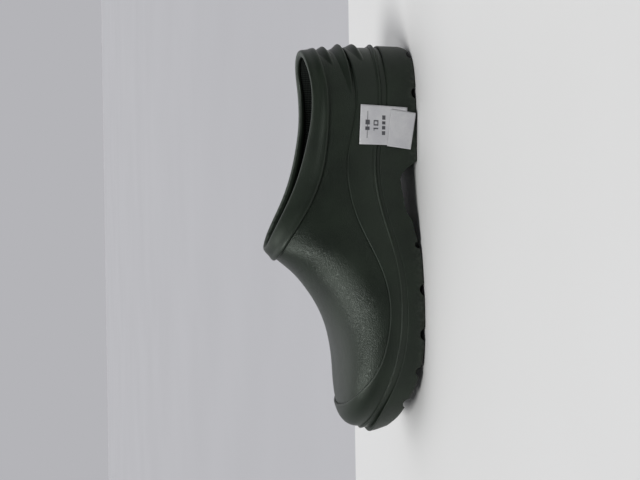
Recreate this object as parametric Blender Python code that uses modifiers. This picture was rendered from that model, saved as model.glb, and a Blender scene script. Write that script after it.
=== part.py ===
"""A rubber garden clog for the left foot, hand-laid round a last: +X to the toe, +Y to the outer side, +Z up.

The shape is given in millimetres on the last: s runs from the back of the heel to the toe tip, y to the outer
side and z up from the ground. A column is a vertical half-section of the clog. It starts on the feather line,
where the upper meets the sole, and climbs over a superellipse to the ridge along the middle of the vamp.
"""

import math

import bmesh
import bpy
import numpy as np
from mathutils import Matrix

MM = 0.001
MIDDLE_S, MIDDLE_Y = 149.9, 0.2  # the point of the ground under the middle of the clog
GAP = 0.3  # clearance between pieces that are bonded or lie on each other
GAP_ON_UPPER = 0.4  # the same between curved strips, with room for their facets

UPPER_WALL = 2.0
STIFFENER_DEPTH = 2.4  # toe puff and counter lie this far inside the outer face of the upper
STIFFENER_WALL = 0.8
LINING_DEPTH, RIM_DEPTH = 3.6, 2.6  # the lining lies this far inside the outer face, and closer at the rim
LINING_WALL = 0.7
MUDGUARD_WALL = 1.4
UPPER_CUT = 2.4  # upper and lining stop this far under the top line, inside the fold of the collar
BEAD_TOP = 2.2  # height of the bead's upper edge over the feather line
BOARD_WALL = 1.8
FOAM_WALL = 4.0
COVER_WALL = 1.2
FOOTBED_INSET = 7.2
HINGE_S = 290.0  # the footbed lifts about its toe end
MARGIN_SHARE = 0.80  # the margin of the upper reaches in to this share of the way from the middle line
LABEL_WALL, LABEL_OUT = 0.25, 3.5
HEEL_CENTRE, TOE_CENTRE = 36.0, 252.0  # centres of the two round ends of the last
END_BLEND = 14.0
# Tread grooves as (s, radius of the round top, depth).
GROOVES = [(9.6, 2.6, 4.0), (40, 4.4, 4.0), (156, 2.6, 5.4), (189.5, 4.6, 3.9), (223, 5.0, 4.2)]
GROOVES += [(251.5, 3.6, 4.0), (276.5, 3.4, 4.0)]
PRINTED_LABEL = [(51.5, 8.0), (80.5, 8.5), (79.2, 45.4), (49.0, 43.8)]
BLANK_LABEL = [(55.7, 1.4), (83.4, 5.9), (80.7, 24.2), (52.7, 20.6)]

# ---- smooth curves through a few points -------------------------------------------------------------------


def curve_through(xs, ys):
    """Natural cubic spline y(x) through the points given."""
    x, y = np.array(xs, float), np.array(ys, float)
    step = np.diff(x)
    rows = np.zeros((len(x), len(x)))
    right = np.zeros(len(x))
    rows[0, 0] = rows[-1, -1] = 1
    for i in range(1, len(x) - 1):
        rows[i, i - 1 : i + 2] = step[i - 1], 2 * (step[i - 1] + step[i]), step[i]
        right[i] = 6 * ((y[i + 1] - y[i]) / step[i] - (y[i] - y[i - 1]) / step[i - 1])
    bend = np.linalg.solve(rows, right)

    def value(at):
        at = np.clip(np.asarray(at, float), x[0], x[-1])
        i = np.clip(np.searchsorted(x, at) - 1, 0, len(x) - 2)
        before, after, h = at - x[i], x[i + 1] - at, step[i]
        cubic = (bend[i] * after**3 + bend[i + 1] * before**3) / (6 * h)
        return cubic + (y[i] / h - bend[i] * h / 6) * after + (y[i + 1] / h - bend[i + 1] * h / 6) * before

    return value


def loop_through(points):
    """Closed cubic spline through the points, by chord length; the result takes 0 to 1 round the loop."""
    p = np.array(points, float)
    count = len(p)
    step = np.linalg.norm(np.roll(p, -1, axis=0) - p, axis=1)
    rows = np.zeros((count, count))
    right = np.zeros_like(p)
    for i in range(count):
        after = (i + 1) % count
        rows[i, i - 1] += step[i - 1]
        rows[i, i] += 2 * (step[i - 1] + step[i])
        rows[i, after] += step[i]
        right[i] = 6 * ((p[after] - p[i]) / step[i] - (p[i] - p[i - 1]) / step[i - 1])
    bend = np.linalg.solve(rows, right)
    knots = np.concatenate([[0], np.cumsum(step)])

    def value(at):
        x = np.mod(np.asarray(at, float), 1) * knots[-1]
        i = np.clip(np.searchsorted(knots, x, side="right") - 1, 0, count - 1)
        j = (i + 1) % count
        h = step[i][..., None]
        before, after = (x - knots[i])[..., None], (knots[i + 1] - x)[..., None]
        cubic = (bend[i] * after**3 + bend[j] * before**3) / (6 * h)
        return cubic + (p[i] / h - bend[i] * h / 6) * after + (p[j] / h - bend[j] * h / 6) * before

    return value


# ---- the last ---------------------------------------------------------------------------------------------

# Feather line seen from above: from the toe tip along the outer side to the heel, back along the inner side.
FEATHER = loop_through(
    [(295.6, -7), (291.6, 12.6), (279.6, 30.2), (258, 44), (226, 50.3), (192, 50), (154, 43), (115, 36.5)]
    + [(76, 35.5), (41, 35), (17, 28), (5.7, 14.5), (2.7, 0), (5.7, -14), (17, -27), (41, -33.5), (76, -32.5)]
    + [(115, -31), (152, -35.5), (186, -45), (216, -50), (246, -48.5), (272, -38.6), (288.6, -24)]
)
# Heights along the clog, each over s.
FEATHER_Z = curve_through(
    [0, 15, 32, 52, 86, 108, 139, 169, 199, 221, 244, 271, 300],
    [29, 29.6, 28.7, 29, 32.8, 32.6, 27, 19.4, 17, 17.7, 21, 28.8, 39],
)
RIDGE_Z = curve_through(
    [0, 36, 50, 65, 85, 105, 125, 140, 150, 160, 168, 176, 184, 200, 216, 231, 247, 262, 300],
    [138, 122, 114, 108.5, 107, 109, 113, 116, 115, 109.8, 100.6, 91.2, 84, 73, 65.6, 61.4, 58.6, 58.2, 58.2],
)
RIDGE_Y = curve_through([0, 40, 110, 170, 220, 250, 302], [0, 0, 0, -3.5, -5, -6, -6])
FULLNESS = curve_through(
    [0, 20, 38, 60, 85, 125, 150, 170, 200, 235, 262, 285, 302],
    [3.0, 2.9, 2.55, 2.2, 1.98, 1.9, 1.98, 2.0, 2.05, 2.3, 2.75, 3.05, 3.1],
)
# Lines that cut the last square across, seen from the side.
TOPLINE = curve_through(
    [-5, 4, 16, 32, 48, 62, 77, 92, 108, 122, 138, 148, 158, 176],
    [85.8, 84.8, 83.1, 80.6, 79.9, 80.8, 83.4, 86.9, 91.9, 97.7, 105.5, 110.0, 113.6, 121],
)
BAND_FOOT = curve_through(
    [-5, 6, 21, 33, 48, 62, 77, 93, 108, 123, 136, 145, 156, 165, 176],
    [73.8, 73.0, 70.6, 68.4, 67.4, 67.5, 68.6, 70.8, 74.8, 81.0, 88.2, 93.6, 100, 104.4, 109.5],
)
MUDGUARD_TOP = curve_through(
    [-4, 12, 24, 36, 50, 70, 95, 112, 139, 162, 184, 210, 232, 255, 268, 280, 290, 302],
    [52.2, 50.5, 48.4, 47.0, 46.8, 50.4, 54.1, 53.2, 46.6, 36.6, 28.9, 26.6, 29.8, 38.9, 48.3, 57.4, 66, 77],
)
# The sole: its top edge hangs this far below the feather line, and its tread rises off the ground like this.
SOLE_DROP = curve_through([0, 20, 50, 100, 150, 300], [5.0, 5.8, 5.6, 3.6, 4.6, 4.2])
SOLE_FLARE = curve_through([0, 14, 40, 90, 200, 276, 298], [3.3, 2.6, 2.3, 2.3, 2.6, 4.4, 6.4])
SOLE_TUCK = curve_through([0, 60, 250, 278, 298], [0.5, 0.5, 0.8, 2.4, 4.4])  # the wall leans in this far
TREAD_RISE = curve_through(
    [0, 6, 14, 60, 125, 141, 156, 172, 200, 228, 244, 256, 270, 284, 301],
    [4.4, 1.1, 0, 0, 0, 0, 0, 0, 0, 0.2, 1.8, 3.9, 8.0, 12.8, 19.5],
)
# The bead stands out this far, and its crest lies this far over the feather line.
BEAD_REACH = curve_through([0, 7, 20, 50, 250, 278, 298], [4.4, 3.9, 2.8, 2.4, 2.4, 3.0, 3.8])
BEAD_CREST = curve_through([0, 60, 110, 160, 300], [0, 0, -0.4, -1.0, -1.0])
ARCH = [(90, -3), (92.5, 1), (98, 9), (103, 13.2), (106, 14), (114, 12.9), (122, 11.9), (128, 11.0)]
ARCH += [(132, 9.9), (134.5, 8.2), (137, 6.4), (147, 4.5), (156, 2.3), (164, 0.4), (169, -2)]
COUNTER_TOP = curve_through([-5, 10, 40, 70, 92], [62, 62, 60, 54, 45])
RIB_TOP = curve_through([-5, 2, 10, 18, 30], [67.2, 66.6, 64.8, 62.6, 59.0])
RIB_LOWER = curve_through([-5, 2, 8, 14, 24], [44.0, 43.4, 42.0, 40.2, 37.0])


def tread(s):
    return np.maximum(TREAD_RISE(s), 0)


def rib_middle(s):
    return MUDGUARD_TOP(s) + 2.8


def softly_between(x, low, high):
    """x held between low and high, with the corners rounded."""
    return low + END_BLEND * (
        np.logaddexp(0, (x - low) / END_BLEND) - np.logaddexp(0, (x - high) / END_BLEND)
    )


def on_last(feather, angle):
    """Point of the last on the column that starts at the feather point (s, y), at an angle of 0 to 90 degrees
    from the feather line to the ridge: a superellipse between the two, in polar form."""
    s, y = feather[..., 0], feather[..., 1]
    ridge_s = softly_between(s, HEEL_CENTRE, TOE_CENTRE)
    ridge_y = RIDGE_Y(ridge_s)
    full = FULLNESS(s)
    across, up = np.abs(np.cos(angle)), np.abs(np.sin(angle))
    radius = (across**full + up**full) ** (-1 / full)
    across, up = across * radius, up * radius
    foot = FEATHER_Z(s)
    height = foot + (RIDGE_Z(ridge_s) - foot) * up
    return np.stack([ridge_s + (s - ridge_s) * across, ridge_y + (y - ridge_y) * across, height], axis=-1)


def angle_where(feather, line):
    """Angle at which each column crosses a side line z(s), by halving the interval."""
    low, high = np.zeros(len(feather)), np.full(len(feather), math.pi / 2)
    for _ in range(40):
        middle = (low + high) / 2
        point = on_last(feather, middle)
        under = point[:, 2] < line(point[:, 0])
        low, high = np.where(under, middle, low), np.where(under, high, middle)
    return (low + high) / 2


def angle_at_height(feather, height):
    """Angle at which each column reaches its own height."""
    return angle_where(feather, lambda s: height)


FINE = np.linspace(0, 1, 4801)[:-1]
FINE_FEATHER = FEATHER(FINE)
TOE_AT = int(np.argmax(FINE_FEATHER[:, 0]))
HEEL_AT = int(np.argmin(FINE_FEATHER[:, 0]))
TIP_S, HEEL_S = FINE_FEATHER[TOE_AT, 0], FINE_FEATHER[HEEL_AT, 0]


def place_round(feather):
    """Where a feather point lies on the loop, 0 to 1."""
    apart = np.linalg.norm(FINE_FEATHER[None] - feather[:, None, :2], axis=2)
    return FINE[np.argmin(apart, axis=1)]


def outward(feather, angle):
    """Unit normal of the last, pointing out, from its slopes round the loop and up the column."""
    place = place_round(feather)
    angle = np.clip(angle, 0.002, math.pi / 2 - 0.03)
    along = on_last(FEATHER(place + 0.001), angle) - on_last(FEATHER(place - 0.001), angle)
    climb = on_last(feather, angle + 0.001) - on_last(feather, angle - 0.001)
    normal = np.cross(along, climb)
    return normal / np.linalg.norm(normal, axis=-1, keepdims=True)


def outward_flat(feather):
    """Unit normal of the feather line seen from above."""
    place = place_round(feather)
    along = FEATHER(place + 0.001) - FEATHER(place - 0.001)
    normal = np.stack([along[:, 1], -along[:, 0], np.zeros(len(along))], axis=1)
    return normal / np.linalg.norm(normal, axis=1, keepdims=True)


def loop_side(loop, stations, side):
    """The y of a closed loop of (s, y) points at the given s, on the outer (+1) or inner (-1) side."""
    count = len(loop)
    toe, heel = int(np.argmax(loop[:, 0])), int(np.argmin(loop[:, 0]))
    past_toe, past_heel = (np.arange(count) - toe) % count, (heel - toe) % count
    half = loop[past_toe <= past_heel] if side > 0 else loop[(past_toe >= past_heel) | (past_toe == 0)]
    half = half[np.argsort(half[:, 0])]
    return np.interp(stations, half[:, 0], half[:, 1])


def feather_at(stations, side):
    """Feather points at the given s on the outer (+1) or inner (-1) side."""
    stations = np.asarray(stations, float)
    return np.stack([stations, loop_side(FINE_FEATHER, stations, side)], axis=1)


def ridge_crossing(line):
    """The s at which a side line reaches the ridge."""
    s = np.linspace(140, 185, 4501)
    return float(s[np.argmin(np.abs(RIDGE_Z(s) - line(s)))])


def upper_top(s):
    return TOPLINE(s) - UPPER_CUT


THROAT = ridge_crossing(upper_top)


def station_list():
    """Values of s for the columns: close together round the heel and the toe and behind the throat."""
    round_heel = 40 - (40 - HEEL_S) * np.cos(np.radians([0, 20, 38, 56, 74, 90]))
    sides = [56, 72, 88, 103, 116, 128, 138]
    behind_throat = THROAT - np.array([14, 9, 5, 2.3, 0.6, 0])
    vamp = [THROAT + 4.5, 173, 184, 197, 212, 227]
    round_toe = 240 + (TIP_S - 240) * np.sin(np.radians([2, 15, 28, 41, 54, 66, 78, 90]))
    return np.concatenate([round_heel, sides, behind_throat, vamp, round_toe])


STATIONS = station_list()
OUTER = feather_at(STATIONS[::-1], +1)
INNER = feather_at(STATIONS[1:-1], -1)
COLUMNS = np.concatenate([OUTER, INNER])  # once round: toe tip, outer side, heel, inner side


# ---- heights of the layers under the foot -----------------------------------------------------------------


def sole_top(s):
    return FEATHER_Z(s) - SOLE_DROP(s)


def margin_bottom(s):
    return sole_top(s) + GAP


def board_bottom(s):
    return margin_bottom(s) + UPPER_WALL + GAP


def board_top(s):
    return board_bottom(s) + BOARD_WALL


def filler_bottom(s):
    return sole_top(s) + GAP + 0.1


def filler_top(s):
    return board_bottom(s) - GAP - 0.1


def foam_bottom(s):
    return board_top(s) + GAP


def foam_top(s):
    return foam_bottom(s) + FOAM_WALL


def cover_bottom(s):
    return foam_top(s) + GAP


def cover_top(s):
    return cover_bottom(s) + COVER_WALL


# ---- meshes -----------------------------------------------------------------------------------------------


def world(points):
    """Last millimetres to metres, with the origin under the middle of the clog."""
    return (np.asarray(points, float) - (MIDDLE_S, MIDDLE_Y, 0)) * MM


def material(name, colour, roughness, metallic=0.0):
    made = bpy.data.materials.new(name)
    made.use_nodes = True
    shader = made.node_tree.nodes["Principled BSDF"]
    shader.inputs["Base Color"].default_value = (*colour, 1)
    shader.inputs["Roughness"].default_value = roughness
    shader.inputs["Metallic"].default_value = metallic
    return made


def add_object(name, mesh, finish, collection):
    mesh.materials.append(finish)
    mesh.shade_smooth()
    mesh.set_sharp_from_angle(angle=math.radians(40))
    made = bpy.data.objects.new(name, mesh)
    collection.objects.link(made)
    return made


def loft(name, rings, wrap_rings=False, wrap_points=True):
    """Mesh of quads between rings of points, facing out where the rings and their points run anticlockwise.
    Either direction may close on itself; closed rings that do not meet get a flat cap at each end."""
    rings = np.asarray(rings, float)
    ring_count, point_count = rings.shape[:2]
    faces = []
    for i in range(ring_count if wrap_rings else ring_count - 1):
        for j in range(point_count if wrap_points else point_count - 1):
            a, b = i * point_count, ((i + 1) % ring_count) * point_count
            after = (j + 1) % point_count
            faces.append((a + j, a + after, b + after, b + j))
    if wrap_points and not wrap_rings:
        faces.append(tuple(range(point_count))[::-1])
        faces.append(tuple(range((ring_count - 1) * point_count, ring_count * point_count)))
    mesh = bpy.data.meshes.new(name)
    mesh.from_pydata([tuple(p) for p in world(rings.reshape(-1, 3))], [], faces)
    tidy = bmesh.new()
    tidy.from_mesh(mesh)
    bmesh.ops.remove_doubles(tidy, verts=tidy.verts, dist=0.00003)
    if wrap_points:
        bmesh.ops.recalc_face_normals(tidy, faces=tidy.faces)
    tidy.to_mesh(mesh)
    tidy.free()
    return mesh


def sheet(name, rows, wall, finish, collection):
    """A lofted sheet on the outer face of a piece, given its wall inwards."""
    made = add_object(name, loft(name, rows, wrap_points=False), finish, collection)
    solid = made.modifiers.new("wall", "SOLIDIFY")
    solid.thickness = wall * MM
    solid.offset = -1
    solid.use_even_offset = True
    return made


def at_offset(feather, angle, distance):
    """Points of the last at the angle given, moved along the normal by a distance in millimetres, which may
    be a function of the point."""
    point = on_last(feather, angle)
    distance = distance(point) if callable(distance) else np.asarray(distance, float)
    return point + outward(feather, angle) * np.broadcast_to(distance, (len(feather),))[:, None]


def closing(columns):
    """For each column of a symmetrical run, the index of the one facing it across the ridge."""
    count = len(columns)
    return [(count - i) % count for i in range(count)] if count == len(COLUMNS) else list(range(count))[::-1]


def rows_to_ridge(columns, low, high, count, distance):
    """Rows of points from the angle low to the angle high of each column. Where a column and the one facing
    it both reach the ridge, their last points are brought together."""
    rows = [at_offset(columns, low + (high - low) * share, distance) for share in np.linspace(0, 1, count)]
    facing = closing(columns)
    meets = high > math.pi / 2 - 1e-6
    rows[-1] = np.where(meets[:, None], (rows[-1] + rows[-1][facing]) / 2, rows[-1])
    return rows


def around(rows):
    """Rows of points along the whole loop, with the first column repeated so that the sheet closes."""
    return [np.concatenate([row, row[:1]]) for row in rows]


def cut_angles(columns, line, reach):
    """Angle where each column ends: at the side line behind the reach, at the ridge in front of it."""
    return np.where(columns[:, 0] > reach - 0.01, math.pi / 2, angle_where(columns, line))


def band(name, columns, section, finish, collection, closed):
    """A strip round the last. The section lists (angles of the columns, distances out) round its outline."""
    outline = [at_offset(columns, angle, distance) for angle, distance in section]
    mesh = loft(name, np.stack(outline, axis=1), wrap_rings=closed)
    return add_object(name, mesh, finish, collection)


def slab(name, loop, stations, bottom, top, finish, collection):
    """A layer under the foot: flat across, following a bottom and a top height along the clog."""
    rings = []
    for s in stations:
        y_in, y_out = loop_side(loop, s, -1), loop_side(loop, s, +1)
        across = y_in + (y_out - y_in) * np.array([0, 0.25, 0.5, 0.75, 1])
        over = [(s, y, top(s)) for y in across]
        under = [(s, y, bottom(s)) for y in across[::-1]]
        rings.append(over + under)
    return add_object(name, loft(name, rings), finish, collection)


def inset_loop(distance):
    """The feather line moved inwards by a distance, seen from above."""
    return FINE_FEATHER - outward_flat(FINE_FEATHER)[:, :2] * distance


def stations_in(loop, low=-1e9, high=1e9):
    """The s of the columns that fall on a loop, between limits, with a station just inside each end."""
    first, last = max(loop[:, 0].min() + 0.25, low), min(loop[:, 0].max() - 0.25, high)
    inside = [s for s in STATIONS if first + 1.2 < s < last - 1.2]
    return [first, *inside, last]


# ---- the pieces -------------------------------------------------------------------------------------------


def ridge_point(columns):
    """The point under the ridge, seen from above, that each column climbs towards."""
    s = softly_between(columns[:, 0], HEEL_CENTRE, TOE_CENTRE)
    return np.stack([s, RIDGE_Y(s)], axis=1)


def towards_middle(columns, share, height):
    """Points at a share of the way out from the middle line to the feather line, at a height over s."""
    middle = ridge_point(columns)
    flat = middle + (columns - middle) * share
    return np.column_stack([flat, height(flat[:, 0])])


def build_upper(finish, collection):
    """The upper: a rubber sheet over the whole last, with its margin turned in under the insole board."""
    high = cut_angles(COLUMNS, upper_top, THROAT)
    rows = [
        towards_middle(COLUMNS, MARGIN_SHARE, margin_bottom),
        towards_middle(COLUMNS, 0.90, margin_bottom),
        towards_middle(COLUMNS, 0.985, margin_bottom),
        towards_middle(COLUMNS, 1.0, lambda s: margin_bottom(s) + 0.9),
    ]
    rows += rows_to_ridge(COLUMNS, np.zeros(len(COLUMNS)), high, 11, 0)
    return sheet("upper_shell", around(rows), UPPER_WALL, finish, collection)


def lining_depth(point):
    """How far the lining lies inside the outer face: it comes closer to it within 19 mm of the top line."""
    near = np.clip((19 - TOPLINE(point[:, 0]) + point[:, 2]) / 8, 0, 1)
    return LINING_DEPTH - (LINING_DEPTH - RIM_DEPTH) * near**2 * (3 - 2 * near)


def build_lining(finish, collection):
    """The fabric sock that covers the inside of the upper."""
    high = cut_angles(COLUMNS, upper_top, THROAT)
    low = angle_where(COLUMNS, lambda s: board_top(s) + 0.6)
    rows = rows_to_ridge(COLUMNS, low, high, 9, lambda point: -lining_depth(point))
    return sheet("lining_sock", around(rows), LINING_WALL, finish, collection)


def build_toe_puff(finish, collection):
    """The stiff cap between upper and lining over the toes."""
    count = int(np.sum(STATIONS > 239))
    columns = np.concatenate([INNER[-(count - 1) :], OUTER[:count]])
    low = angle_where(columns, lambda s: board_top(s) + 0.6)
    rows = rows_to_ridge(columns, low, np.full(len(columns), math.pi / 2), 9, -STIFFENER_DEPTH)
    return sheet("toe_puff", rows, STIFFENER_WALL, finish, collection)


def build_counter(finish, collection):
    """The stiff cup between upper and lining round the heel."""
    count = int(np.sum(STATIONS < 90))
    columns = np.concatenate([OUTER[-count:], INNER[: count - 1]])
    low = angle_where(columns, lambda s: board_top(s) + 0.6)
    high = angle_where(columns, COUNTER_TOP)
    shares = np.linspace(0, 1, 6)
    outside = [(low + (high - low) * share, -STIFFENER_DEPTH) for share in shares]
    inside = [(angle, -STIFFENER_DEPTH - STIFFENER_WALL) for angle, _ in outside[::-1]]
    return band("heel_counter", columns, outside + inside, finish, collection, closed=False)


def build_mudguard(finish, collection):
    """The foxing strip laid round the foot of the upper, from the bead to the swept line."""
    low = angle_where(COLUMNS, lambda s: FEATHER_Z(s) + BEAD_TOP + GAP)
    high = angle_where(COLUMNS, MUDGUARD_TOP)
    lip = high - low
    outside = [(low + lip * share, GAP_ON_UPPER + MUDGUARD_WALL) for share in np.linspace(0, 0.97, 6)]
    edge = [(high, GAP_ON_UPPER + MUDGUARD_WALL * 0.55)]
    inside = [(low + lip * share, GAP_ON_UPPER + 0.15) for share in np.linspace(1, 0, 8)]
    return band("mudguard_band", COLUMNS, outside + edge + inside, finish, collection, closed=True)


def build_bead(finish, collection):
    """The bead over the join of upper and sole: a strip with a rounded crest that is undercut below."""
    flat = outward_flat(COLUMNS)[:, :2]
    reach = BEAD_REACH(COLUMNS[:, 0])
    outline = []
    section = [(0, -1), (0.62, -1), (0.74, -0.5), (0.94, -0.16), (1, 0), (0.9, 0.35), (0.5, 0.86), (0, 1)]
    for share, up in section:
        plan = COLUMNS + flat * (GAP_ON_UPPER + reach * share)[:, None]
        s = plan[:, 0]
        crest = BEAD_CREST(s)
        end = BEAD_TOP if up > 0 else GAP - SOLE_DROP(s)
        outline.append(np.column_stack([plan, FEATHER_Z(s) + crest + (end - crest) * abs(up)]))
    mesh = loft("welt_bead", np.stack(outline, axis=1), wrap_rings=True)
    return add_object("welt_bead", mesh, finish, collection)


def build_outsole(finish, collection, cutters):
    """The moulded sole: flat top, flared wall and rounded tread edge, with the tread and the arch cut out."""
    flat = outward_flat(COLUMNS)
    flare, tuck = SOLE_FLARE(COLUMNS[:, 0]), SOLE_TUCK(COLUMNS[:, 0])

    def wall_row(out, height):
        plan = COLUMNS + flat[:, :2] * np.broadcast_to(out, (len(COLUMNS),))[:, None]
        return np.column_stack([plan, height(plan[:, 0])])

    rows = [
        towards_middle(COLUMNS, 0.0, tread),
        towards_middle(COLUMNS, 0.6, tread),
        wall_row(flare - tuck - 2.0, tread),
        wall_row(flare - tuck - 0.9, lambda s: tread(s) + 0.3),
        wall_row(flare - tuck - 0.3, lambda s: tread(s) + 1.4),
        wall_row(flare - tuck * 0.4, lambda s: (tread(s) + sole_top(s)) / 2),
        wall_row(flare, lambda s: sole_top(s) - 0.7),
        wall_row(flare - 0.4, lambda s: sole_top(s) - 0.1),
        wall_row(-1.0, sole_top),
        towards_middle(COLUMNS, 0.6, sole_top),
        towards_middle(COLUMNS, 0.0, sole_top),
    ]
    made = add_object("outsole", loft("outsole", around(rows), wrap_points=False), finish, collection)
    for index, (s, radius, depth) in enumerate(GROOVES):
        cut(made, groove_cutter(f"groove_{index}", s, radius, depth, cutters))
    cut(made, arch_cutter(cutters))
    return made


def groove_cutter(name, s, radius, depth, cutters):
    """A rod across the sole, as far below the tread that it cuts a round-topped groove."""
    shape = bmesh.new()
    bmesh.ops.create_cone(
        shape, cap_ends=True, segments=12, radius1=radius * MM, radius2=radius * MM, depth=140 * MM
    )
    mesh = bpy.data.meshes.new(name)
    shape.to_mesh(mesh)
    shape.free()
    rod = add_cutter(mesh, cutters)
    rod.rotation_euler = (math.pi / 2, 0, 0)
    rod.location = world((s, 0, tread(s) + depth - radius))
    return rod


def arch_cutter(cutters):
    """The hollow between heel breast and forepart, drawn from the side and run through the width."""
    rings = [[(s, y, z) for s, z in ARCH] for y in (-70, 70)]
    return add_cutter(loft("arch_hollow", rings), cutters)


def add_cutter(mesh, cutters):
    made = bpy.data.objects.new(mesh.name, mesh)
    made.hide_render = True
    made.display_type = "WIRE"
    cutters.objects.link(made)
    return made


def cut(target, cutter):
    boolean = target.modifiers.new(f"cut {cutter.name}", "BOOLEAN")
    boolean.operation = "DIFFERENCE"
    boolean.solver = "EXACT"
    boolean.object = cutter


def collar_point(side, share, across, distance):
    """Point of the collar: share 0 to 1 from ridge to heel, across 0 to 1 from its foot to its top."""

    def line(s):
        return BAND_FOOT(s) + across * (TOPLINE(s) - BAND_FOOT(s))

    start = ridge_crossing(line)
    stations = start + (HEEL_S - start) * (1 - np.cos(math.pi * share)) / 2
    feather = feather_at(stations, side)
    angle = np.where(share < 1e-9, math.pi / 2, angle_where(feather, line))
    return at_offset(feather, angle, distance)


def build_collar(finish, collection):
    """The top band, folded over the edge of upper and lining: (across, distance out) round its section."""
    out, back = GAP_ON_UPPER + 0.2, RIM_DEPTH + LINING_WALL + GAP_ON_UPPER + 0.2
    section = [(0, out), (0.02, out + 1.3), (0.14, out + 1.9), (0.5, out + 1.5), (0.84, out + 1.5)]
    section += [(0.97, out + 0.5), (1.0, -1.4), (0.97, 0.6 - back), (0.88, -back - 0.7), (0.6, -back - 0.7)]
    section += [(0.58, -back), (0.9, -back), (0.9, -back / 2), (0.88, out), (0.58, out), (0.29, out)]
    share = np.linspace(0, 1, 19)
    outline = []
    for across, distance in section:
        outer = collar_point(+1, share, across, distance)
        inner = collar_point(-1, share, across, distance)
        outer[0] = inner[0] = (outer[0] + inner[0]) / 2
        outline.append(np.concatenate([outer, inner[-2:0:-1]]))
    mesh = loft("collar_band", np.stack(outline, axis=1), wrap_rings=True)
    return add_object("collar_band", mesh, finish, collection)


def build_rib(name, line, reach, base, proud, finish, collection):
    """A kick-off rib across the back of the heel: it slopes out to a crest and is undercut below it."""
    start, end = (place_round(feather_at([reach], side))[0] for side in (+1, -1))
    columns = FEATHER(np.linspace(start, end, 23))
    along = np.linspace(-1, 1, 23)
    fade = np.sqrt(np.clip(1 - along**4, 0, 1)) * 0.92 + 0.08
    outline = []
    for up, out in [(-1.7, 0.0), (-1.4, 0.15), (0.0, 1.0), (1.0, 0.85), (3.9, 0.22), (5.4, 0.0)]:
        angle = angle_at_height(columns, line(columns[:, 0]) + up * fade)
        outline.append(at_offset(columns, angle, base + out * proud * fade))
    mesh = loft(name, np.stack(outline, axis=1))
    return add_object(name, mesh, finish, collection)


def label_side(s, z):
    """How far out a label lies at (s, z): off the mudguard, over the bead, then straight down the sole."""
    edge = loop_side(FINE_FEATHER, s, +1)
    above = np.clip((z - FEATHER_Z(s) - 2.0) / 14.0, 0, 1)
    return edge + LABEL_OUT - 1.1 * above


def build_label(name, corners, lift, finish, collection):
    """A paper label with the four corners given as (s, z), stuck on the outer side."""
    lower_back, lower_front, upper_front, upper_back = [np.array(c, float) for c in corners]
    rings = []
    for up in np.linspace(0, 1, 9):
        back = lower_back + (upper_back - lower_back) * up
        front = lower_front + (upper_front - lower_front) * up
        ring = []
        for along, out in [(0, 0), (0.5, 0), (1, 0), (1, LABEL_WALL), (0.5, LABEL_WALL), (0, LABEL_WALL)]:
            s, z = back + (front - back) * along
            ring.append((s, label_side(s, z) + lift + out, z))
        rings.append(ring)
    return add_object(name, loft(name, rings), finish, collection)


def build_shank(finish, collection):
    """The steel strip under the insole board that bridges heel and forepart, with rounded ends."""
    rings = []
    start, end, half = 72.0, 168.0, 6.5
    for share in (1 - np.cos(np.linspace(0, math.pi, 15))) / 2:
        s = start + (end - start) * share
        tip = min(s - start, end - s)
        wide = half * math.sqrt(max(1 - max(half - tip, 0) ** 2 / half**2, 0.03))
        low, middle = margin_bottom(s) + 0.3, RIDGE_Y(s)
        rings.append([(s, middle + wide, low), (s, middle + wide, low + 1.2), (s, middle - wide, low + 1.2)])
        rings[-1].append((s, middle - wide, low))
    return add_object("shank", loft("shank", rings), finish, collection)


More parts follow.
